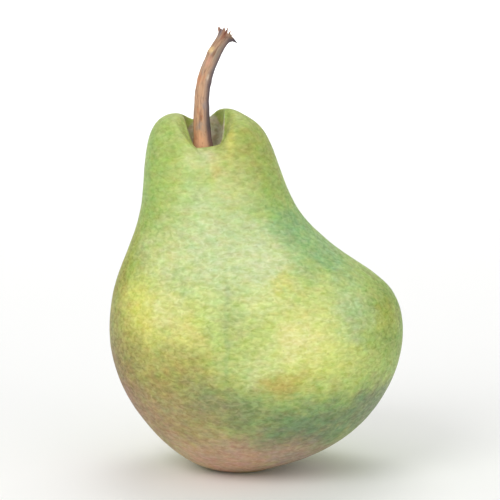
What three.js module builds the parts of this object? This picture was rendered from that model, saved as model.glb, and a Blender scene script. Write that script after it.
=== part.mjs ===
// A green dessert pear, picked with its stem and standing on its eye end. Millimetres, +Z up.
// The origin lies on the surface that the pear stands on, under the middle of its outline.
// The neck leans towards -X, the fuller cheek is on +X, and the low lip of the stem hollow faces -Y.
import * as THREE from 'three';

const degree = Math.PI / 180;

// The fruit's outline, seen from the front, from the rim of the stem's hollow down to the edge of the foot.
// Each row is one ring of the fruit: [left x, left z, right x, right z].
const sideRows = [
  [-19.3, 93.9, -8.5, 95.5],
  [-21.5, 94.6, -6.8, 95.8],
  [-24.7, 93.7, -3.9, 94.8],
  [-27.2, 91.2, 0.8, 91.9],
  [-28.7, 87.2, 3.5, 87.6],
  [-29.7, 80.6, 6.1, 80.8],
  [-30.2, 72.4, 9.4, 72.2],
  [-31.9, 64.6, 14.7, 64.6],
  [-34.9, 56.8, 25.2, 56.2],
  [-37.9, 48.4, 35.8, 48.8],
  [-39.1, 39.6, 39.0, 39.6],
  [-38.6, 30.4, 38.3, 29.8],
  [-34.7, 20.0, 34.2, 20.0],
  [-28.2, 10.8, 26.7, 10.8],
  [-20.9, 3.9, 15.4, 4.1],
  [-15.1, 0.9, 5.6, 0.9],
  [-12.0, 0.0, 3.8, 0.0],
];
// The same rings at the front and at the back, as [y, z], where a lip of the hollow lowers them.
// The front lip is low and shows the stem's base. The back one is shallow.
const frontRows = [
  [-9.5, 86.4],
  [-10.8, 86.5],
  [-12.4, 86.0],
  [-14.1, 84.4],
  [-15.5, 81.8],
  [-16.7, 77.4],
  [-18.4, 71.0],
];
const backRows = [
  [4.5, 92.6],
  [7.0, 92.4],
  [9.6, 91.8],
  [12.8, 90.2],
  [15.0, 86.9],
];
// The half depths of the rings below the lips, whose front and back are as high as their middle
const halfDepths = [16.8, 18.6, 21.6, 27.0, 32.8, 36.3, 36.6, 33.2, 26.6, 17.6, 10.6, 7.9];
const ringsPerRow = 2;
const fruitSides = 64;
// Low swellings of the skin: how many go round, how far each turns on its way down, and how high it stands
const swellings = [
  { count: 3, turn: 5, start: 0, height: 0.35 },
  { count: 5, turn: -3, start: 1, height: 0.25 },
];

// Where each lip lies, in degrees round the rim from its right-hand end, and what it eases into down the neck
const frontLip = { begins: 0, lowestFrom: 34, lowestTo: 103, ends: 160 };
const backLip = { begins: 42, lowestFrom: 90, lowestTo: 100, ends: 165 };
const easedLip = { begins: 5, lowestFrom: 80, lowestTo: 85, ends: 156 };
const lipReach = 0.2; // where each lip has eased, as a share of the way down the rows
// How closely a ring's corners gather under the front lip, and between which shares of the way down the most
const crowding = { most: 0.6, from: 0.25, to: 0.3 };

// The hollow's wall, from the rim to the stem's socket: [share of the drop, share of the way inwards]
const hollowWall = [
  [0.06, 0.05],
  [0.3, 0.1],
  [0.65, 0.18],
  [0.9, 0.38],
  [1.0, 0.7],
];
const socket = { x: -14.0, y: -2.9, radius: 2.8, top: 85.7, floor: 83.2 };

// The flat ring that the pear stands on, and the basin of the eye inside it
const footX = -4.1;
const footInnerRadius = 5.4;
const basinRows = [
  [5.0, 0.5],
  [4.9, 1.9],
  [4.5, 3.4],
  [3.2, 4.4],
  [1.6, 4.7],
];
const basinFloor = 4.8;

// The stem: its centre line [x, y, z] and its radius there, from the root in the socket to the torn end
const stemLine = [
  [-14.0, -2.9, 83.5, 2.4],
  [-14.0, -2.9, 86.4, 2.4],
  [-14.2, -2.8, 91.0, 2.25],
  [-14.3, -2.4, 97.3, 1.95],
  [-13.8, -1.8, 102.1, 1.9],
  [-12.9, -1.3, 105.4, 1.85],
  [-11.5, -0.7, 108.6, 1.8],
  [-10.2, -0.2, 111.4, 1.75],
  [-9.1, 0.1, 113.1, 1.7],
];
const stemRings = 24;
const stemSides = 24;
const bark = { ridges: 7, height: 0.08, twist: 1.3 };

// The knob where the stem broke from its spur: a flare with a splintered rim round a sunken scar
const knob = { length: 2.7, radius: 2.1, rings: 5, scarDepth: 0.7, scarRadius: 1.3 };
const splinters = [
  { heading: 180, width: 30, length: 1.3, rise: 0.8 },
  { heading: 0, width: 26, length: 2.1, rise: -1.1 },
  { heading: 105, width: 36, length: 0.7, rise: 0.9 },
  { heading: -70, width: 36, length: 0.3, rise: 0 },
  { heading: 235, width: 32, length: 0.3, rise: 0.3 },
];

// The eye: what dried of the flower in the basin, five sepals that spread from a small cup and bend down
const eye = { sepals: 5, reach: 4.1, waist: 2.2, top: 4.5, tip: 1.1, thickness: 0.8, tipThickness: 0.4 };
const sepalTaper = 1.6; // above 1, the sepals narrow quickly towards their tips
const eyeSides = 50;
const eyeRings = 5;

// One closed skin through rings that all run anticlockwise about +Z, closed by a point at each end
function skin(rings, firstPole, lastPole) {
  const sides = rings[0].length;
  const points = [firstPole, ...rings.flat(), lastPole];
  const last = points.length - 1;
  const at = (ring, side) => 1 + ring * sides + (side % sides);
  const faces = [];
  for (let side = 0; side < sides; side++) {
    faces.push(0, at(0, side), at(0, side + 1));
    for (let ring = 0; ring + 1 < rings.length; ring++) {
      const [a, b] = [at(ring, side), at(ring + 1, side)];
      const [c, d] = [at(ring + 1, side + 1), at(ring, side + 1)];
      faces.push(a, b, c, a, c, d);
    }
    faces.push(last, at(rings.length - 1, side + 1), at(rings.length - 1, side));
  }
  const geometry = new THREE.BufferGeometry().setFromPoints(points);
  geometry.setIndex(faces);
  geometry.computeVertexNormals();
  return geometry;
}

const { lerp: mix, smoothstep } = THREE.MathUtils;

// How much of a lip's depth there is at a heading, where the lip has eased by a share
function lipShare(heading, lip, eased) {
  const place = (name) => mix(lip[name], easedLip[name], eased);
  const rises = smoothstep(heading, place('begins'), place('lowestFrom'));
  return rises * (1 - smoothstep(heading, place('lowestTo'), place('ends')));
}

// A ring of the fruit through its left, right, front and back points, at a share of the way down the rows
function fruitRing({ left, right, front, back }, along = 0) {
  const eased = smoothstep(along, 0, lipReach);
  const gathers = smoothstep(along, 0, crowding.from) * (1 - smoothstep(along, crowding.to, 1));
  const middle = (left.z + right.z) / 2;
  return Array.from({ length: fruitSides }, (_, side) => {
    const even = (2 * Math.PI * side) / fruitSides - Math.PI;
    const angle = even - crowding.most * gathers * Math.cos(even);
    const share = (1 + Math.cos(angle)) / 2;
    const atFront = Math.sin(angle) < 0;
    const far = atFront ? front : back;
    const lowered = lipShare((atFront ? -even : even) / degree, atFront ? frontLip : backLip, eased);
    return new THREE.Vector3(
      mix(left.x, right.x, share),
      mix(left.y, far.y, Math.abs(Math.sin(angle))),
      mix(left.z, right.z, share) + (far.z - middle) * lowered,
    );
  });
}

function circle(x, y, z, radius) {
  const at = (dx, dy) => new THREE.Vector3(x + dx * radius, y + dy * radius, z);
  return fruitRing({ left: at(-1, 0), right: at(1, 0), front: at(0, -1), back: at(0, 1) });
}

// Low swellings that run down the fruit. They leave its outline from the front and from the side as it is.
function swellRing(ring, middleX, along) {
  for (const point of ring) {
    const angle = Math.atan2(point.y, point.x - middleX);
    const wave = swellings.reduce(
      (sum, { count, turn, start, height }) => sum + height * Math.sin(count * angle + turn * along + start),
      0,
    );
    point.y += wave * Math.sin(Math.PI * along) * Math.sin(2 * angle);
  }
  return ring;
}

function fruitSkin() {
  const curve = (pointOf) =>
    new THREE.CatmullRomCurve3(sideRows.map((row, index) => new THREE.Vector3(...pointOf(row, index))));
  const belowLips = ([, leftZ, , rightZ], index, sign) => [
    sign * halfDepths.at(index - sideRows.length),
    (leftZ + rightZ) / 2,
  ];
  const curves = {
    left: curve(([x, z]) => [x, 0, z]),
    right: curve(([, , x, z]) => [x, 0, z]),
    front: curve((row, index) => [0, ...(frontRows[index] ?? belowLips(row, index, -1))]),
    back: curve((row, index) => [0, ...(backRows[index] ?? belowLips(row, index, 1))]),
  };
  const steps = (sideRows.length - 1) * ringsPerRow;
  const outside = Array.from({ length: steps + 1 }, (_, step) => {
    const along = step / steps;
    const [left, right, front, back] = Object.values(curves).map((line) => line.getPoint(along));
    return swellRing(fruitRing({ left, right, front, back }, along), (left.x + right.x) / 2, along);
  });
  const socketEdge = circle(socket.x, socket.y, socket.top, socket.radius);
  const wall = hollowWall.map(([drop, inwards]) =>
    outside[0].map((rim, side) => {
      const point = rim.clone().lerp(socketEdge[side], inwards);
      point.z = mix(rim.z, socket.top, drop);
      return point;
    }),
  );
  const socketFloor = circle(socket.x, socket.y, socket.floor, socket.radius);
  const foot = [circle(footX, 0, 0, footInnerRadius)];
  const basin = basinRows.map(([radius, z]) => circle(footX, 0, z, radius));
  return skin(
    [socketFloor, socketEdge, ...wall.reverse(), ...outside, ...foot, ...basin],
    new THREE.Vector3(socket.x, socket.y, socket.floor),
    new THREE.Vector3(footX, 0, basinFloor),
  );
}

// Rings across the stem's line. They are made from its root upwards, and turned round for the skin.
function stemSkin() {
  const line = new THREE.CatmullRomCurve3(stemLine.map(([x, y, z]) => new THREE.Vector3(x, y, z)));
  const radiusAt = (along) => {
    const place = along * (stemLine.length - 1);
    const index = Math.min(Math.floor(place), stemLine.length - 2);
    return mix(stemLine[index][3], stemLine[index + 1][3], place - index);
  };
  // Directions across the line: one towards +X, one towards +Y
  const across = (tangent) => {
    const y = new THREE.Vector3(0, 1, 0).addScaledVector(tangent, -tangent.y).normalize();
    return [new THREE.Vector3().crossVectors(y, tangent), y];
  };
  const ringAt = (centre, tangent, shape) => {
    const [x, y] = across(tangent);
    return Array.from({ length: stemSides }, (_, side) => {
      const angle = (2 * Math.PI * side) / stemSides;
      const { radius, rise = 0 } = shape(angle);
      return centre
        .clone()
        .addScaledVector(x, radius * Math.cos(angle))
        .addScaledVector(y, radius * Math.sin(angle))
        .addScaledVector(tangent, rise);
    });
  };
  const rings = Array.from({ length: stemRings + 1 }, (_, step) => {
    const along = step / stemRings;
    const ridge = (angle) => bark.height * Math.cos(bark.ridges * angle + bark.twist * Math.PI * along);
    return ringAt(line.getPoint(along), line.getTangent(along), (angle) => ({
      radius: radiusAt(along) + ridge(angle),
    }));
  });
  // How far the splinters reach in a direction: a share of each one's length or rise
  const tornAt = (angle, quantity) =>
    splinters.reduce((sum, splinter) => {
      const away = Math.abs(((angle / degree - splinter.heading + 540) % 360) - 180);
      return sum + splinter[quantity] * (1 - smoothstep(away, 0, splinter.width));
    }, 0);
  const end = line.getPoint(1);
  const tangent = line.getTangent(1);
  const neckRadius = stemLine.at(-1)[3];
  for (let step = 1; step <= knob.rings; step++) {
    const along = step / knob.rings;
    const centre = end.clone().addScaledVector(tangent, knob.length * along);
    rings.push(
      ringAt(centre, tangent, (angle) => ({
        radius: mix(neckRadius, knob.radius, along ** 2) + tornAt(angle, 'length') * along ** 3,
        rise: tornAt(angle, 'rise') * along ** 3,
      })),
    );
  }
  const scar = end.clone().addScaledVector(tangent, knob.length - knob.scarDepth);
  rings.push(ringAt(scar, tangent, () => ({ radius: knob.scarRadius })));
  return skin(rings.reverse(), scar, line.getPoint(0));
}

// The eye's cup and sepals: a dished star, its fruit side above and its open side below
function eyeSkin() {
  const ring = (share, lower) =>
    Array.from({ length: eyeSides }, (_, side) => {
      const angle = (2 * Math.PI * side) / eyeSides;
      const sepal = Math.abs(Math.cos((eye.sepals / 2) * angle)) ** sepalTaper;
      const radius = share * mix(eye.waist, eye.reach, sepal);
      const upperZ = mix(eye.top, eye.tip, (radius / eye.reach) ** 2);
      return new THREE.Vector3(
        footX + radius * Math.cos(angle),
        radius * Math.sin(angle),
        lower ? upperZ - mix(eye.thickness, eye.tipThickness, share) : upperZ,
      );
    });
  const shares = Array.from({ length: eyeRings }, (_, step) => (step + 1) / eyeRings);
  const upper = shares.map((share) => ring(share, false));
  const lower = shares.map((share) => ring(share, true)).reverse();
  return skin(
    [...upper, ...lower],
    new THREE.Vector3(footX, 0, eye.top),
    new THREE.Vector3(footX, 0, eye.top - eye.thickness),
  );
}

function piece(name, geometry, color, roughness) {
  const mesh = new THREE.Mesh(geometry, new THREE.MeshStandardMaterial({ color, roughness, metalness: 0 }));
  mesh.name = name;
  return mesh;
}

const pear = new THREE.Group();
pear.add(
  piece('fruit', fruitSkin(), 0xb9c97c, 0.5),
  piece('stem', stemSkin(), 0xa88a6c, 0.8),
  piece('eye', eyeSkin(), 0x5d4630, 0.9),
);

export default pear;
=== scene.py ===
import math
import random

import bmesh
import bpy
from mathutils import Matrix, Vector, noise


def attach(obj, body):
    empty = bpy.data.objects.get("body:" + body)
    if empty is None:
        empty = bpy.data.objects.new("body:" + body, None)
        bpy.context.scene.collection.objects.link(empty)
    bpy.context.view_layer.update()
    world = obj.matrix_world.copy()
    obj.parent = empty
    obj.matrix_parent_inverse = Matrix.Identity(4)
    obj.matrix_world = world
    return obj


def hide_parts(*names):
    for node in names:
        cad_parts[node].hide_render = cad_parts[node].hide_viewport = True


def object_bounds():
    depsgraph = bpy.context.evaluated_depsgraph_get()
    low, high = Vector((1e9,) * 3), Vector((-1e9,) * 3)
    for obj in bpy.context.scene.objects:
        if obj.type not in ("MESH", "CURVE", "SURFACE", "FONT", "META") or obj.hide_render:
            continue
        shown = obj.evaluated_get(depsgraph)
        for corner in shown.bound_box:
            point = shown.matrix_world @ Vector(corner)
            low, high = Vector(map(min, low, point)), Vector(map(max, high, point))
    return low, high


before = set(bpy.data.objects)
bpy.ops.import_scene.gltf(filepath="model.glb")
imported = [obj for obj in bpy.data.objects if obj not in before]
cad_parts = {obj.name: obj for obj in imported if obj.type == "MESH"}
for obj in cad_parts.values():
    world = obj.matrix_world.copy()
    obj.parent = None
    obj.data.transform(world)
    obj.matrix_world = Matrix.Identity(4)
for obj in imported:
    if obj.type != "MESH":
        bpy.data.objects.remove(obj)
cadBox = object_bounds()
mm = 0.001

# Camera at the photo's viewing angle, a little above the belly and straight in front of the low lip
view = {"aim": Vector((-0.0017, 0, 0.0583)), "distance": 0.56, "elevation": 8, "lens": 152.8}

lights = {  # place, size and power of each softbox, all aimed at the belly
    "key": {"place": (-0.55, -0.75, 0.75), "size": 0.7, "power": 5.3},
    "fill": {"place": (0.7, -0.8, 0.35), "size": 0.9, "power": 2.2},
    "top": {"place": (0.1, 0.5, 1.0), "size": 0.8, "power": 2.0},
}
# Lights only the floor far behind
backdrop = {"place": (0, 4.2, 3.2), "size": 5.5, "power": 150, "spread": 75}
surround = {"colour": (1.0, 1.0, 1.0), "strength": 0.6}


def aimAt(thing, target):
    thing.rotation_euler = (Vector(target) - thing.location).to_track_quat("-Z", "Y").to_euler()


def addCamera():
    camera = bpy.data.objects.new("camera", bpy.data.cameras.new("camera"))
    tilt = math.radians(view["elevation"])
    camera.location = view["aim"] + view["distance"] * Vector((0, -math.cos(tilt), math.sin(tilt)))
    camera.data.lens = view["lens"]
    camera.data.clip_start = 0.01
    camera.data.clip_end = 100
    aimAt(camera, view["aim"])
    bpy.context.scene.collection.objects.link(camera)
    bpy.context.scene.camera = camera


def addLamp(name, settings, target):
    lamp = bpy.data.lights.new(name, "AREA")
    lamp.shape = "DISK"
    lamp.size = settings["size"]
    lamp.energy = settings["power"]
    holder = bpy.data.objects.new(name, lamp)
    holder.location = settings["place"]
    aimAt(holder, target)
    bpy.context.scene.collection.objects.link(holder)
    return holder


def addLights():
    for name, settings in lights.items():
        addLamp(name, settings, view["aim"])
    behind = addLamp("backdrop", backdrop, Vector(backdrop["place"]) - Vector((0, 0, 1)))
    behind.data.spread = math.radians(backdrop["spread"])
    world = bpy.data.worlds.new("surround")
    world.use_nodes = True
    background = world.node_tree.nodes["Background"]
    background.inputs["Color"].default_value = (*surround["colour"], 1)
    background.inputs["Strength"].default_value = surround["strength"]
    bpy.context.scene.world = world
    bpy.context.scene.view_settings.view_transform = "Standard"


# Meshes

def objectFrom(bm, name):
    mesh = bpy.data.meshes.new(name)
    bm.to_mesh(mesh)
    bm.free()
    mesh.shade_smooth()
    piece = bpy.data.objects.new(name, mesh)
    bpy.context.scene.collection.objects.link(piece)
    return piece


def mergedCopy(node):
    bm = bmesh.new()
    bm.from_mesh(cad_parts[node].data)
    bmesh.ops.remove_doubles(bm, verts=bm.verts, dist=0.001 * mm)
    return bm


def joinQuads(bm):
    bmesh.ops.join_triangles(
        bm, faces=bm.faces, angle_face_threshold=math.pi, angle_shape_threshold=math.pi,
        cmp_seam=False, cmp_sharp=False, cmp_uvs=False, cmp_vcols=False, cmp_materials=False,
    )


def subdivided(piece, levels):
    modifier = piece.modifiers.new("smooth", "SUBSURF")
    modifier.levels = modifier.render_levels = levels
    graph = bpy.context.evaluated_depsgraph_get()
    mesh = bpy.data.meshes.new_from_object(piece.evaluated_get(graph))
    piece.modifiers.clear()
    piece.data = mesh
    mesh.shade_smooth()
    return piece


def smoothStep(value, low, high):
    share = min(max((value - low) / (high - low), 0), 1)
    return share * share * (3 - 2 * share)


# Material nodes

def linear(colour):  # from 0-255 screen values to the shader's
    return tuple(
        (c / 255 / 12.92) if c / 255 <= 0.04045 else ((c / 255 + 0.055) / 1.055) ** 2.4 for c in colour
    ) + (1,)


class Nodes:
    def __init__(self, name):
        self.material = bpy.data.materials.new(name)
        self.material.use_nodes = True
        self.tree = self.material.node_tree
        self.shader = self.tree.nodes["Principled BSDF"]

    def link(self, source, socket):
        self.tree.links.new(source, socket)

    def add(self, kind, **values):
        node = self.tree.nodes.new(kind)
        for key, value in values.items():
            setattr(node, key, value)
        return node

    def feed(self, node, index, value):
        if isinstance(value, bpy.types.NodeSocket):
            self.link(value, node.inputs[index])
        elif value is not None:
            node.inputs[index].default_value = value

    def math(self, operation, a, b=None, c=None):
        node = self.add("ShaderNodeMath", operation=operation)
        for index, value in enumerate((a, b, c)):
            self.feed(node, index, value)
        return node.outputs[0]

    def vector(self, operation, a, b=None, scale=None):
        node = self.add("ShaderNodeVectorMath", operation=operation)
        self.feed(node, 0, a)
        self.feed(node, 1, b)
        if scale is not None:
            self.feed(node, "Scale", scale)
        return node.outputs["Value" if operation == "LENGTH" else "Vector"]

    def parts(self, vector):
        node = self.add("ShaderNodeSeparateXYZ")
        self.link(vector, node.inputs[0])
        return node.outputs

    def place(self):  # object coordinates in millimetres
        return self.vector("SCALE", self.add("ShaderNodeTexCoord").outputs["Object"], scale=1000)

    def noise(self, where, scale, detail=2, roughness=0.5, colour=False, distortion=0):
        node = self.add("ShaderNodeTexNoise")
        self.link(where, node.inputs["Vector"])
        node.inputs["Scale"].default_value = scale
        node.inputs["Detail"].default_value = detail
        node.inputs["Roughness"].default_value = roughness
        node.inputs["Distortion"].default_value = distortion
        return node.outputs["Color" if colour else "Fac"]

    def cells(self, where, scale):
        node = self.add("ShaderNodeTexVoronoi", feature="F1")
        self.link(where, node.inputs["Vector"])
        node.inputs["Scale"].default_value = scale
        return node.outputs["Distance"]

    def span(self, value, low, high, toLow=0.0, toHigh=1.0, smooth=True):
        node = self.add("ShaderNodeMapRange", interpolation_type="SMOOTHSTEP" if smooth else "LINEAR")
        for index, number in enumerate((value, low, high, toLow, toHigh)):
            self.feed(node, index, number)
        return node.outputs["Result"]

    def mix(self, share, a, b, blend="MIX"):
        node = self.add("ShaderNodeMix", data_type="RGBA", blend_type=blend)
        self.feed(node, 0, share)
        self.feed(node, 6, a)
        self.feed(node, 7, b)
        return node.outputs[2]

    def ramp(self, value, stops):
        node = self.add("ShaderNodeValToRGB")
        self.link(value, node.inputs["Fac"])
        while len(node.color_ramp.elements) < len(stops):
            node.color_ramp.elements.new(0.5)
        for element, (position, colour) in zip(node.color_ramp.elements, stops):
            element.position = position
            element.color = linear(colour)
        return node.outputs["Color"]

    def wash(self, colour, where, patch):  # fades out from the patch's middle
        offset = self.vector("SUBTRACT", where, patch["at"])
        reach = self.vector("LENGTH", self.vector("DIVIDE", offset, patch["size"]))
        share = self.span(reach, 0.25, 1.45, patch["share"], 0)
        return self.mix(share, colour, linear(patch["colour"]))

    def attribute(self, name, output="Fac"):
        return self.add("ShaderNodeAttribute", attribute_name=name).outputs[output]

    def bump(self, height, strength, distance, normal=None):
        node = self.add("ShaderNodeBump")
        self.link(height, node.inputs["Height"])
        node.inputs["Strength"].default_value = strength
        node.inputs["Distance"].default_value = distance
        if normal is not None:
            self.link(normal, node.inputs["Normal"])
        return node.outputs["Normal"]

    def finish(self, values):
        self.shader.inputs["Roughness"].default_value = values["roughness"]
        self.shader.inputs["Specular IOR Level"].default_value = values["specular"]


# The fruit

fruit = {
    "levels": 2,
    "dimples": {"size": 11.0, "depth": 0.25},  # mm: soft unevenness, only ever inwards
    "ripples": {"size": 3.2, "depth": 0.09},
    "foot": {"flat": 0.5, "uneven": 6},  # mm above the ground
    # The hollow round the stem, where its painted shade goes
    "hollow": {
        "centre": (-13.9, -2.5), "halfWidth": 5.5, "halfDepth": 7.1, "above": 80,
        "floor": (0.6, 0.8),  # parts of the half width over which its colour fades out, on the floor
        "rim": (0.95, 1.04),  # and past the rim
        "wall": (0.4, 0.75),  # how far a wall has to face inwards
    },
}


def makeFruit():
    bm = mergedCopy("fruit")
    joinQuads(bm)
    piece = subdivided(objectFrom(bm, "pearSkin"), fruit["levels"])
    mesh = piece.data
    # Marks where the hollow's painted shade goes: its floor and the walls that face inwards
    hollow = mesh.attributes.new("hollow", "FLOAT", "POINT")
    mouth = fruit["hollow"]
    foot = fruit["foot"]
    normals = [vertex.normal.copy() for vertex in mesh.vertices]
    for vertex, normal in zip(mesh.vertices, normals):
        spot = vertex.co / mm
        dx = (spot.x - mouth["centre"][0]) / mouth["halfWidth"]
        dy = (spot.y - mouth["centre"][1]) / mouth["halfDepth"]
        away = max(math.hypot(dx, dy), 0.01)
        wall = smoothStep(-(normal.x * dx + normal.y * dy) / away, *mouth["wall"])
        inside = max(1 - smoothStep(away, *mouth["floor"]), wall) * (1 - smoothStep(away, *mouth["rim"]))
        hollow.data[vertex.index].value = inside if spot.z > mouth["above"] else 0
        sunk = 0
        for relief in (fruit["dimples"], fruit["ripples"]):
            sunk += relief["depth"] * (0.5 + 0.5 * noise.noise(spot / relief["size"]))
        above = smoothStep(spot.z, foot["flat"], foot["uneven"])  # the foot stays flat
        vertex.co -= normal * sunk * above * mm
    piece.data.materials.append(skinMaterial())
    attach(piece, "root")
    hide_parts("fruit")
    print("fruit", len(mesh.polygons), "faces")


# Broad washes of colour on the skin, from the first laid to the last: centre and radii in mm
washes = {
    "paleFront": {"at": (-7, -30, 65), "size": (19, 24, 20), "colour": (194, 208, 154), "share": 0.9},
    # Saturated green on the neck's left side, with painted edge shade
    "neckLeftShade": {"at": (-31, -7, 79), "size": (9, 26, 23), "colour": (146, 175, 90), "share": 0.82},
    # Dark olive at the waist's left side, with painted edge shade
    "waistEdgeLeftShade": {"at": (-37, -2, 60), "size": (9.5, 18, 15), "colour": (148, 154, 36), "share": 0.85},
    "neckGold": {"at": (-6, -15, 80.5), "size": (6, 12, 8), "colour": (210, 214, 144), "share": 0.55},
    "waistLeft": {"at": (-25, -22, 60), "size": (7, 18, 8), "colour": (208, 212, 154), "share": 0.6},
    "neckRight": {"at": (0, -8, 86.5), "size": (12, 24, 14.5), "colour": (160, 168, 84), "share": 0.75},
    # Green on the neck's right side, with painted edge shade
    "neckEdgeShade": {"at": (8, -12, 72), "size": (9, 24, 12), "colour": (146, 176, 88), "share": 0.7},
    "waistRight": {"at": (21, -18, 62), "size": (13, 24, 9), "colour": (138, 178, 120), "share": 0.9},
    "waistPale": {"at": (3.5, -28, 60.5), "size": (8, 16, 9), "colour": (216, 224, 172), "share": 0.55},
    "waistEdge": {"at": (9, -14, 67), "size": (6, 18, 6), "colour": (134, 176, 124), "share": 0.5},
    # Dark olive on the right cheek, with painted edge shade
    "cheekRightShade": {"at": (42, -6, 44), "size": (14, 26, 21), "colour": (124, 152, 56), "share": 0.85},
    "cheekCool": {"at": (23, -28, 46), "size": (8, 14, 9), "colour": (172, 195, 146), "share": 0.6},
    "cheekOchre": {"at": (34, -16, 44), "size": (4, 10, 4), "colour": (184, 182, 74), "share": 0.4},
    "yellowLeft": {"at": (-28.5, -24, 44), "size": (11, 20, 10), "colour": (214, 212, 108), "share": 0.85},
    # Dark olive at the belly's left edge, with painted edge shade
    "edgeLeftShade": {"at": (-42, -2, 48), "size": (9, 20, 21), "colour": (144, 140, 40), "share": 0.85},
    "yellowMiddle": {"at": (-20, -30, 38), "size": (12, 16, 8), "colour": (196, 200, 112), "share": 0.7},
    "creamLeft": {"at": (-17.5, -32, 42.5), "size": (5, 10, 5), "colour": (216, 208, 126), "share": 0.55},
    "creamCheek": {"at": (-23, -28, 48), "size": (5, 12, 6), "colour": (216, 218, 156), "share": 0.45},
    "yellowHaze": {"at": (-12.5, -34, 47.5), "size": (6, 12, 6), "colour": (198, 208, 108), "share": 0.5},
    "yellowTall": {"at": (13, -34, 47), "size": (10, 16, 11), "colour": (206, 214, 132), "share": 0.7},
    "creamMiddle": {"at": (2, -36, 50), "size": (6, 10, 6), "colour": (220, 222, 144), "share": 0.55},
    "yellowRight": {"at": (13.5, -34, 36), "size": (13, 18, 9), "colour": (208, 214, 122), "share": 0.95},
    "creamRight": {"at": (10, -36, 39.5), "size": (6, 10, 6), "colour": (224, 218, 152), "share": 0.6},
    "creamLow": {"at": (1.5, -36, 33), "size": (5, 10, 9), "colour": (208, 214, 156), "share": 0.4},
    "yellowSpot": {"at": (6.5, -34, 53), "size": (4, 12, 2.5), "colour": (222, 204, 84), "share": 0.55},
    "greenSeam": {"at": (-6.5, -37, 36), "size": (4.5, 12, 22), "colour": (176, 190, 116), "share": 0.65},
    "oliveLeft": {"at": (-38, -14, 27), "size": (14, 26, 16), "colour": (132, 110, 54), "share": 0.9},
    "oliveMiddle": {"at": (-22, -28, 29.2), "size": (16, 20, 9), "colour": (158, 146, 82), "share": 0.85},
    "tealLeft": {"at": (-8, -34, 22), "size": (13, 20, 7), "colour": (132, 140, 96), "share": 0.85},
    "russetLeft": {"at": (-25, -24, 15), "size": (18, 26, 11), "colour": (166, 140, 100), "share": 0.9},
    # Blue-green on the lower right, partly the skin's colour and partly painted shade
    "tealShadeRight": {"at": (16, -30, 16.5), "size": (20, 22, 8), "colour": (112, 134, 96), "share": 0.95},
    "tealShadeCheek": {"at": (29, -20, 20), "size": (13, 22, 7.5), "colour": (124, 142, 96), "share": 0.85},
    "ochreSpot": {"at": (7, -36, 28.5), "size": (7, 10, 3.6), "colour": (178, 158, 80), "share": 0.75},
    "greyFoot": {"at": (4, -26, 10.5), "size": (16, 18, 5), "colour": (126, 116, 104), "share": 0.7},
    "blushFoot": {"at": (-6, -16, 5), "size": (23, 32, 9.5), "colour": (198, 160, 134), "share": 0.95},
    # Red-brown blush with painted edge shade at the lower left edge
    "redEdgeAndShade": {"at": (-33, 1, 16), "size": (11, 24, 15), "colour": (138, 94, 68), "share": 0.82},
    "greyEdge": {"at": (14, -10, 5), "size": (15, 24, 7), "colour": (168, 146, 134), "share": 0.75},
    "shadeRight": {"at": (31, -8, 15), "size": (11, 22, 13), "colour": (114, 126, 90), "share": 0.75},
    "yellowBack": {"at": (10, 34, 44), "size": (24, 16, 20), "colour": (206, 206, 104), "share": 0.7},
    "russetBack": {"at": (-16, 30, 16), "size": (24, 20, 14), "colour": (162, 144, 90), "share": 0.8},
    "greenBack": {"at": (-20, 20, 68), "size": (16, 20, 24), "colour": (158, 188, 100), "share": 0.7},
    "tealBack": {"at": (30, 22, 20), "size": (18, 20, 12), "colour": (132, 150, 100), "share": 0.7},
}

# Small marks, which stray little
marks = {
    "seam": {"at": (-7.4, -36, 45), "size": (0.8, 10, 25), "colour": (138, 166, 104), "share": 0.35},
    "yellowStreak": {"at": (-6.4, -9, 87.2), "size": (1.3, 8, 5.2), "colour": (206, 200, 104), "share": 0.6},
    "pinkSpot": {"at": (-12, -11, 84.5), "size": (2.2, 5, 1.6), "colour": (214, 172, 128), "share": 0.5},
    "pinkStreak": {"at": (-10.5, -13, 81), "size": (1.6, 6, 3.5), "colour": (212, 192, 120), "share": 0.4},
    "lipPale": {"at": (-14.5, -12, 83.6), "size": (5, 6, 3.4), "colour": (214, 220, 166), "share": 0.5},
    # Painted highlight on the left lobe beside the hollow
    "leftGleam": {"at": (-20.6, -7, 89.5), "size": (1.2, 5, 3.5), "colour": (206, 214, 132), "share": 0.5},
}

skin = {
    "base": (172, 190, 104),
    # The painted shade in the hollow round the stem, at its rim and deeper down
    "hollow": (202, 202, 174),
    "hollowDeep": (206, 200, 176),
    "russet": (176, 150, 116),
    "wander": 13,  # mm that the washes stray, and then that the marks do
    "markWander": 3,
    "blotch": {"light": (222, 220, 130), "dark": (132, 158, 96), "share": 0.22},
    "drawn": (0.6, 0.6, 1.1),  # scale of the mottling in x, y and z
    "tint": 0.42,
    "fleck": {"belly": 0.64, "neck": 0.48, "foot": 0.68},  # shares, the foot's as a part of the belly's
    "lenticel": {"colour": (150, 140, 84), "share": 0.25},
    "roughness": {"dark": 0.52, "light": 0.40},
    "specular": 0.28,
}


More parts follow.
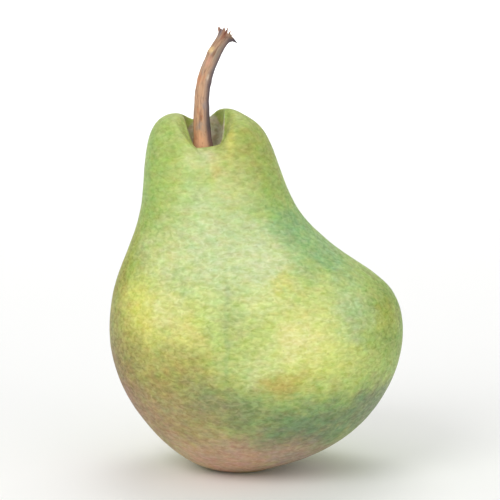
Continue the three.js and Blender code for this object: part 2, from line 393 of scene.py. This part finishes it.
def skinMaterial():
    n = Nodes("pearSkin")
    place = n.place()
    wander = n.vector("SUBTRACT", n.noise(place, 0.11, 4, 0.65, colour=True), (0.5, 0.5, 0.5))
    wandered = n.vector("ADD", place, n.vector("SCALE", wander, scale=skin["wander"]))
    colour = linear(skin["base"])
    for wash in washes.values():
        colour = n.wash(colour, wandered, wash)

    nearby = n.vector("ADD", place, n.vector("SCALE", wander, scale=skin["markWander"]))
    for mark in marks.values():
        colour = n.wash(colour, nearby, mark)

    # The hollow round the stem gets painted shade, a pale grey on its floor and inward-facing walls, with
    # russet on its floor and an uneven edge
    height = n.parts(place)["Z"]
    ragged = n.noise(place, 0.7, 3, 0.6)
    edge = n.math("ADD", n.attribute("hollow"), n.math("MULTIPLY_ADD", ragged, 0.5, -0.25))
    shade = n.mix(n.span(height, 96, 87), linear(skin["hollow"]), linear(skin["hollowDeep"]))
    shade = n.mix(n.span(ragged, 0.42, 0.62, 0, 0.5), shade, linear(skin["russet"]))
    colour = n.mix(n.span(edge, 0.3, 0.75, 0, 0.9), colour, shade)

    # Mottling: soft blotches, a drift of tints, then flecks that are drawn out a little round the fruit
    blotch = n.noise(place, 0.16, 4, 0.65)
    tone = skin["blotch"]
    colour = n.mix(n.span(blotch, 0.52, 0.75, 0, tone["share"]), colour, linear(tone["light"]))
    colour = n.mix(n.span(blotch, 0.46, 0.25, 0, tone["share"]), colour, linear(tone["dark"]))
    drawn = n.vector("MULTIPLY", place, skin["drawn"])
    tint = n.vector("SUBTRACT", n.noise(drawn, 0.45, 3, 0.55, colour=True), (0.5, 0.5, 0.5))
    tint = n.vector("ADD", n.vector("SCALE", tint, scale=0.9), (0.5, 0.5, 0.5))
    colour = n.mix(skin["tint"], colour, tint, blend="SOFT_LIGHT")
    flecks = n.noise(drawn, 1.1, 2, 0.5, distortion=0.6)
    light = n.span(flecks, 0.2, 0.8, 0.03, 0.97, smooth=False)
    fleck = skin["fleck"]  # calmer on the neck and towards the foot
    upper = n.span(height, 50, 78, fleck["belly"], fleck["neck"])
    strength = n.math("MULTIPLY", upper, n.span(height, 10, 34, fleck["foot"], 1))
    colour = n.mix(strength, colour, light, blend="SOFT_LIGHT")

    # Lenticels: small brownish pores, about two millimetres apart
    pores = n.cells(place, 0.55)
    poreSize = n.span(n.noise(place, 0.4, 1), 0.35, 0.65, 0.10, 0.17)
    pore = n.math("SUBTRACT", 1, n.span(n.math("DIVIDE", pores, poreSize), 0.6, 1.2))
    lenticel = skin["lenticel"]
    colour = n.mix(n.math("MULTIPLY", pore, lenticel["share"]), colour, linear(lenticel["colour"]))

    n.link(colour, n.shader.inputs["Base Color"])
    rough = skin["roughness"]
    n.link(n.span(flecks, 0.3, 0.7, rough["dark"], rough["light"]), n.shader.inputs["Roughness"])
    n.shader.inputs["Specular IOR Level"].default_value = skin["specular"]
    grain = n.bump(n.noise(place, 1.6, 3, 0.6), 0.25, 0.00012)
    n.link(n.bump(pore, 0.3, 0.00008, grain), n.shader.inputs["Normal"])
    return n.material


# The stem

stem = {
    "levels": 2,
    "line": [  # its centre line in mm, as the solid stem has it
        (-14.0, -2.9, 83.5),
        (-14.0, -2.9, 86.4),
        (-14.2, -2.8, 91.0),
        (-14.3, -2.4, 97.3),
        (-13.8, -1.8, 102.1),
        (-12.9, -1.3, 105.4),
        (-11.5, -0.7, 108.6),
        (-10.2, -0.2, 111.4),
        (-9.1, 0.1, 113.1),
        (-7.7, 0.4, 115.3),
    ],
    "base": {"from": 85.6, "to": 88.4, "fill": 0.36},  # the fleshy foot fills its socket
    "fibre": {"height": 0.12, "across": 0.9, "along": 0.12, "scale": 2.2},
    "knots": [
        {"along": 27.0, "heading": 215, "size": 1.1, "height": 0.35},
        {"along": 12.5, "heading": 320, "size": 0.9, "height": 0.18},
        {"along": 19.5, "heading": 20, "size": 1.0, "height": 0.2},
    ],
}


def stemPlaces():  # the centre line's points, and how far along it each one lies, in mm
    points = [Vector(row) for row in stem["line"]]
    lengths = [0.0]
    for a, b in zip(points, points[1:]):
        lengths.append(lengths[-1] + (b - a).length)
    return points, lengths


# The nearest place on the centre line: how far along, the offset across, and the direction there
def onStem(spot, points, lengths):
    best = None
    for index, (a, b) in enumerate(zip(points, points[1:])):
        run = b - a
        share = (spot - a).dot(run) / run.length_squared
        low = -1 if index == 0 else 0  # the end stretches reach on past the line's ends
        high = 3 if index == len(points) - 2 else 1
        share = min(max(share, low), high)
        foot = a + run * share
        gap = (spot - foot).length
        if best is None or gap < best[0]:
            best = (gap, lengths[index] + run.length * share, spot - foot, run.normalized())
    return best[1:]


# Stores each point's place on the shank: across it towards +X and +Y, and along it, in mm
def markBark(mesh):
    bark = mesh.attributes.new("bark", "FLOAT_VECTOR", "POINT")
    points, lengths = stemPlaces()
    places = []
    for vertex in mesh.vertices:
        along, offset, direction = onStem(vertex.co / mm, points, lengths)
        east = Vector((0, 1, 0)).cross(direction).normalized()
        place = Vector((offset.dot(east), offset.dot(direction.cross(east)), along))
        bark.data[vertex.index].vector = place
        places.append(place)
    return places


def makeStem():
    bm = mergedCopy("stem")
    joinQuads(bm)
    piece = subdivided(objectFrom(bm, "stemWood"), stem["levels"])
    mesh = piece.data
    fibre = stem["fibre"]
    base = stem["base"]
    limit = cadBox[1].z - 0.05 * mm
    places = markBark(mesh)
    normals = [vertex.normal.copy() for vertex in mesh.vertices]
    for vertex, normal, place in zip(mesh.vertices, normals, places):
        x, y, along = place
        grain = Vector((x * fibre["across"], y * fibre["across"], along * fibre["along"]))
        out = fibre["height"] * noise.fractal(grain * fibre["scale"], 1.0, 2.0, 3)
        heading = math.degrees(math.atan2(y, x))
        for knot in stem["knots"]:
            turn = math.radians((heading - knot["heading"] + 540) % 360 - 180)
            gap = math.hypot(turn * math.hypot(x, y), along - knot["along"]) / knot["size"]
            out += knot["height"] * math.exp(-gap * gap)
        out += base["fill"] * (1 - smoothStep(vertex.co.z / mm, base["from"], base["to"]))
        vertex.co += normal * out * mm
        vertex.co.z = min(vertex.co.z, limit)
    wood = stemMaterial()
    piece.data.materials.append(wood)
    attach(piece, "root")
    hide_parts("stem")
    print("stem", len(mesh.polygons), "faces")
    makeSplinters(wood, limit)


tornEnd = {
    "long": [  # from, to and thickness in mm
        {"from": (-7.0, 0.45, 114.5), "to": (-4.65, 0.35, 112.4), "width": 0.42},
        {"from": (-9.6, 0.35, 115.2), "to": (-10.2, 0.6, 117.4), "width": 0.34},
        {"from": (-8.5, 0.1, 115.0), "to": (-8.75, 0.2, 117.3), "width": 0.26},
        {"from": (-6.9, -0.6, 114.7), "to": (-5.9, -1.2, 115.0), "width": 0.26},
        {"from": (-8.5, -0.5, 115.2), "to": (-8.2, -0.5, 117.1), "width": 0.42},
        {"from": (-7.9, 0.2, 115.3), "to": (-7.4, 0.3, 116.9), "width": 0.4},
        {"from": (-7.2, -0.4, 114.6), "to": (-6.7, -0.5, 116.2), "width": 0.42},
        {"from": (-9.5, -0.2, 115.2), "to": (-9.6, -0.4, 116.9), "width": 0.36},
    ],
    # short ones in a ring: from the middle out, sunk in the wood, then up and outwards
    "centre": (-7.9, 0.4, 114.9),
    "direction": (0.54, 0.15, 0.83),
    "out": (0.9, 2.0),
    "sunk": (0.3, 0.8),
    "length": (0.7, 1.5),
    "flare": (0, 0.7),
    "width": (0.1, 0.2),
    "count": 22,
    "seed": 3,
    "crooked": 0.06,
}


def spike(bm, start, end, width):
    run = end - start
    made = bmesh.ops.create_cone(
        bm, cap_ends=True, segments=7, radius1=width, radius2=width * 0.12, depth=run.length,
    )["verts"]
    bmesh.ops.translate(bm, verts=made, vec=(0, 0, run.length / 2))
    bmesh.ops.rotate(bm, verts=made, cent=(0, 0, 0), matrix=run.to_track_quat("Z", "Y").to_matrix())
    bmesh.ops.translate(bm, verts=made, vec=start)


def makeSplinters(wood, limit):
    draw = random.Random(tornEnd["seed"])
    bm = bmesh.new()
    for splinter in tornEnd["long"]:
        spike(bm, Vector(splinter["from"]), Vector(splinter["to"]), splinter["width"])
    centre = Vector(tornEnd["centre"])
    up = Vector(tornEnd["direction"]).normalized()
    east = Vector((0, 1, 0)).cross(up).normalized()
    north = up.cross(east)
    for _ in range(tornEnd["count"]):
        turn = draw.uniform(0, 2 * math.pi)
        outwards = east * math.cos(turn) + north * math.sin(turn)
        start = centre + outwards * draw.uniform(*tornEnd["out"]) - up * draw.uniform(*tornEnd["sunk"])
        end = start + up * draw.uniform(*tornEnd["length"]) + outwards * draw.uniform(*tornEnd["flare"])
        end.z = min(end.z, limit / mm)
        spike(bm, start, end, draw.uniform(*tornEnd["width"]))
    bmesh.ops.subdivide_edges(bm, edges=bm.edges, cuts=1)
    noise.seed_set(tornEnd["seed"])  # noise_vector starts from this seed, and from the clock without it
    for vertex in bm.verts:
        vertex.co += tornEnd["crooked"] * noise.noise_vector(vertex.co * 1.7)
        vertex.co.z = min(vertex.co.z, limit / mm)
    bmesh.ops.scale(bm, verts=bm.verts, vec=(mm, mm, mm))
    piece = objectFrom(bm, "splinters")
    markBark(piece.data)
    piece.data.materials.append(wood)
    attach(piece, "root")
    print("splinters", tornEnd["count"] + len(tornEnd["long"]))


bark = {
    "length": 34,
    "along": [  # from the foot to the torn end
        (0.0, (222, 164, 124)),
        (0.18, (214, 164, 126)),
        (0.34, (204, 160, 126)),
        (0.7, (192, 156, 126)),
        (0.9, (176, 142, 114)),
        (1.0, (150, 114, 96)),
    ],
    "crack": (112, 76, 60),
    "pale": (232, 196, 160),
    "grey": (158, 148, 142),
    "orange": (196, 124, 88),
    "cool": (140, 128, 130),
    "shade": (78, 72, 84),
    "speck": (120, 84, 60),
    "roughness": 0.72,
    "specular": 0.25,
}

# Marks on the bark: x and y across the shank and how far along it, and radii, in mm
barkMarks = {
    "knot": {"at": (-1.1, -1.4, 27.6), "size": (0.6, 1.0, 1.0), "colour": (236, 202, 142), "share": 0.75},
    "pink": {"at": (-0.7, -1.6, 24.6), "size": (0.7, 1.0, 1.7), "colour": (222, 162, 138), "share": 0.45},
    "orange": {"at": (-1.3, -1.2, 19.8), "size": (0.6, 1.0, 1.6), "colour": (208, 138, 96), "share": 0.6},
    "grey": {"at": (0.5, -1.7, 27.5), "size": (0.6, 1.0, 2.8), "colour": (142, 134, 118), "share": 0.6},
    "paleChip": {"at": (0.6, -1.7, 20.6), "size": (0.35, 0.8, 0.9), "colour": (226, 206, 182), "share": 0.6},
    "knotRim": {"at": (-0.2, -1.8, 27), "size": (0.4, 0.8, 1.2), "colour": (120, 84, 64), "share": 0.6},
    "foot": {"at": (0, -2.4, 3.5), "size": (2.6, 3, 3.0), "colour": (240, 182, 144), "share": 0.75},
    # Painted shade on the right side of the stem's foot
    "footShadedSide": {"at": (2.0, -1.6, 4.5), "size": (0.9, 2, 2.6), "colour": (124, 98, 108), "share": 0.7},
    "redTop": {"at": (-0.4, -1.6, 32.5), "size": (0.4, 1.2, 1.8), "colour": (136, 76, 60), "share": 0.7},
    "greyTop": {"at": (-1.6, -0.8, 33), "size": (0.5, 1.2, 1.8), "colour": (130, 116, 122), "share": 0.6},
    "paleTorn": {"at": (1.0, -1.0, 33.5), "size": (1.2, 1.2, 1.0), "colour": (176, 140, 100), "share": 0.7},
}


def stemMaterial():
    n = Nodes("stemWood")
    place = n.attribute("bark", "Vector")
    parts = n.parts(place)
    colour = n.ramp(n.span(parts["Z"], 0, bark["length"], smooth=False), bark["along"])
    streaks = n.noise(n.vector("MULTIPLY", place, (1.2, 1.2, 0.1)), 2.2, 4, 0.65)
    colour = n.mix(n.span(streaks, 0.5, 0.34, 0, 0.7), colour, linear(bark["crack"]))
    colour = n.mix(n.span(streaks, 0.54, 0.72, 0, 0.55), colour, linear(bark["pale"]))
    patches = n.noise(n.vector("MULTIPLY", place, (0.6, 0.6, 0.25)), 1.0, 3)
    colour = n.mix(n.span(patches, 0.52, 0.68, 0, 0.55), colour, linear(bark["grey"]))
    colour = n.mix(n.span(patches, 0.46, 0.32, 0, 0.5), colour, linear(bark["orange"]))
    # Its shaded side, towards +X, is cool and dark
    side = n.math("ADD", parts["X"], n.math("MULTIPLY", streaks, 0.8))
    colour = n.mix(n.math("MULTIPLY", n.span(side, 0.4, 1.3), 0.45), colour, linear(bark["cool"]))
    colour = n.mix(n.math("MULTIPLY", n.span(side, 1.2, 2.1), 0.85), colour, linear(bark["shade"]))
    for mark in barkMarks.values():
        colour = n.wash(colour, place, mark)
    specks = n.cells(n.vector("MULTIPLY", place, (1, 1, 0.6)), 1.1)
    speck = n.math("SUBTRACT", 1, n.span(specks, 0.14, 0.26))
    colour = n.mix(n.math("MULTIPLY", speck, 0.2), colour, linear(bark["speck"]))
    n.link(colour, n.shader.inputs["Base Color"])
    n.finish(bark)
    ribs = n.bump(streaks, 0.7, 0.0003)
    n.link(n.bump(speck, 0.4, 0.0001, ribs), n.shader.inputs["Normal"])
    return n.material


# The eye: dried sepals round a tuft of withered stamens, up in the basin

eye = {
    "centre": (-4.1, 0.0),
    "top": 4.5,
    "sepals": 5,
    "sepal": {"length": 4.3, "width": 2.6, "thickness": 0.28, "droop": 3.1, "cup": 0.35, "wrinkle": 0.12},
    "stamens": 14,
    "stamen": {"length": (1.3, 2.3), "tilt": (0.15, 0.75), "out": (0.2, 0.9), "radius": 0.11, "head": 0.17},
    "seed": 7,
    "tones": [(0.25, (52, 38, 26)), (0.5, (92, 68, 44)), (0.75, (134, 104, 70))],
    "roughness": 0.85,
    "specular": 0.2,
}


# One sepal: a pointed leaf that leaves the cup, bends down and curls back at its tip
def sepalShape(bm, turn, draw):
    made = bmesh.ops.create_grid(bm, x_segments=10, y_segments=6, size=0.5)["verts"]
    leaf = eye["sepal"]
    curl = draw.uniform(0.8, 1.3)
    lean = draw.uniform(-0.25, 0.25)
    for vertex in made:
        reach = vertex.co.x + 0.5
        across = vertex.co.y * 2
        swell = 0.75 + 0.5 * math.sin(math.pi * min(reach * 1.3, 1))
        half = leaf["width"] / 2 * (1 - reach ** 1.8) ** 0.8 * swell
        bend = reach * 1.15
        radius = 0.3 + leaf["length"] * math.sin(bend) / 1.05
        drop = leaf["droop"] * (1 - math.cos(bend)) * curl
        cup = leaf["cup"] * across * across * (1 - reach)
        wrinkle = leaf["wrinkle"] * math.sin(9 * reach + 4 * across + 5 * lean)
        level = eye["top"] - 0.35 - drop - cup + wrinkle
        vertex.co = Vector((radius, across * half + lean * reach * reach, level))
    bmesh.ops.rotate(bm, verts=made, cent=(0, 0, 0), matrix=Matrix.Rotation(turn, 3, "Z"))


def stamen(bm, turn, draw):  # a withered thread with a small swollen end
    thread = eye["stamen"]
    length = draw.uniform(*thread["length"])
    made = bmesh.ops.create_cone(
        bm, cap_ends=True, segments=6, radius1=thread["radius"], radius2=0.06, depth=length,
    )["verts"]
    bmesh.ops.translate(bm, verts=made, vec=(0, 0, length / 2))
    head = bmesh.ops.create_icosphere(bm, subdivisions=1, radius=thread["head"])["verts"]
    bmesh.ops.translate(bm, verts=head, vec=(0, 0, length))
    both = made + head
    tilt = Matrix.Rotation(math.pi - draw.uniform(*thread["tilt"]), 3, "Y")
    bmesh.ops.rotate(bm, verts=both, cent=(0, 0, 0), matrix=Matrix.Rotation(turn, 3, "Z") @ tilt)
    root = Vector((math.cos(turn), math.sin(turn), 0)) * draw.uniform(*thread["out"])
    bmesh.ops.translate(bm, verts=both, vec=root + Vector((0, 0, eye["top"] - 0.4)))


def finishEye(bm, name, material):
    bmesh.ops.recalc_face_normals(bm, faces=bm.faces)
    bmesh.ops.translate(bm, verts=bm.verts, vec=(*eye["centre"], 0))
    bmesh.ops.scale(bm, verts=bm.verts, vec=(mm, mm, mm))
    piece = objectFrom(bm, name)
    piece.data.materials.append(material)
    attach(piece, "root")
    return piece


def makeEye():
    draw = random.Random(eye["seed"])
    brown = calyxMaterial()
    bm = bmesh.new()
    for index in range(eye["sepals"]):
        sepalShape(bm, 2 * math.pi * index / eye["sepals"], draw)
    bmesh.ops.recalc_face_normals(bm, faces=bm.faces)
    bmesh.ops.solidify(bm, geom=bm.faces[:], thickness=eye["sepal"]["thickness"])
    cup = bmesh.ops.create_uvsphere(bm, u_segments=24, v_segments=12, radius=1.5)["verts"]
    bmesh.ops.scale(bm, verts=cup, vec=(1, 1, 0.35))
    bmesh.ops.translate(bm, verts=cup, vec=(0, 0, eye["top"] - 0.55))
    sepals = finishEye(bm, "sepals", brown)
    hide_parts("eye")
    bm = bmesh.new()
    for index in range(eye["stamens"]):
        stamen(bm, 2 * math.pi * index / eye["stamens"] + draw.uniform(-0.2, 0.2), draw)
    finishEye(bm, "stamens", brown)
    print("eye", eye["sepals"], "sepals", eye["stamens"], "stamens")


def calyxMaterial():
    n = Nodes("driedCalyx")
    place = n.place()
    n.link(n.ramp(n.noise(place, 1.4, 4, 0.6), eye["tones"]), n.shader.inputs["Base Color"])
    n.finish(eye)
    n.link(n.bump(n.noise(place, 3, 3), 0.5, 0.0002), n.shader.inputs["Normal"])
    return n.material


# The floor

ground = {"radius": 14, "colour": (0.93, 0.93, 0.92, 1), "roughness": 0.9, "specular": 0.1}


def makeFloor():
    bm = bmesh.new()
    bmesh.ops.create_circle(bm, cap_ends=True, segments=96, radius=ground["radius"])
    floor = objectFrom(bm, "floor")
    n = Nodes("paleFloor")
    n.shader.inputs["Base Color"].default_value = ground["colour"]
    n.finish(ground)
    floor.data.materials.append(n.material)


addCamera()
addLights()
makeFloor()
makeFruit()
makeStem()
makeEye()
